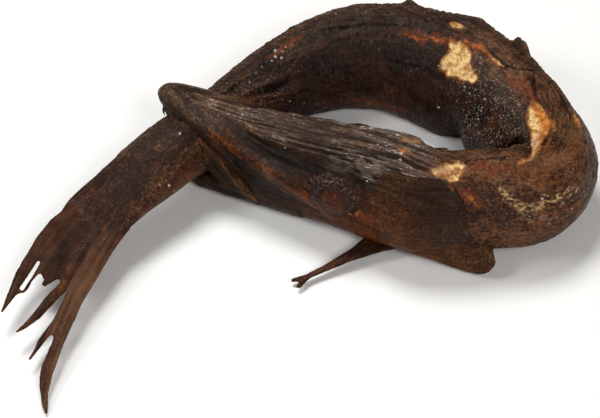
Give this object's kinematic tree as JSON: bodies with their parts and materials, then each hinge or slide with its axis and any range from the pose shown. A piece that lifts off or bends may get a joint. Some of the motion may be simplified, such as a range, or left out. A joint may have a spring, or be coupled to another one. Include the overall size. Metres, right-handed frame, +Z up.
{
  "type": "smoked fish",
  "caption": "Whole smoked and dried fish bent into a ring, its tail held across its open jaws, lying on its belly.",
  "frame": {"origin": "middle of the box the fish fills, at the bottom, on the surface the fish lies on", "axes": "+Z up, away from the surface; +X from the fish's snout towards the outside of its bend, the longest way across the ring; +Y away from the side of the head that faces outwards, across the ring to its far side"},
  "size_m": [0.2137, 0.1839, 0.0399],
  "materials": {
    "smoked_skin": "dark brown wrinkled smoked skin, satin with glossy ridges, with a few pale torn patches of flesh"
  },
  "bodies": {
    "root": {"smoked_fish": "smoked_skin"}
  },
  "joints": []
}
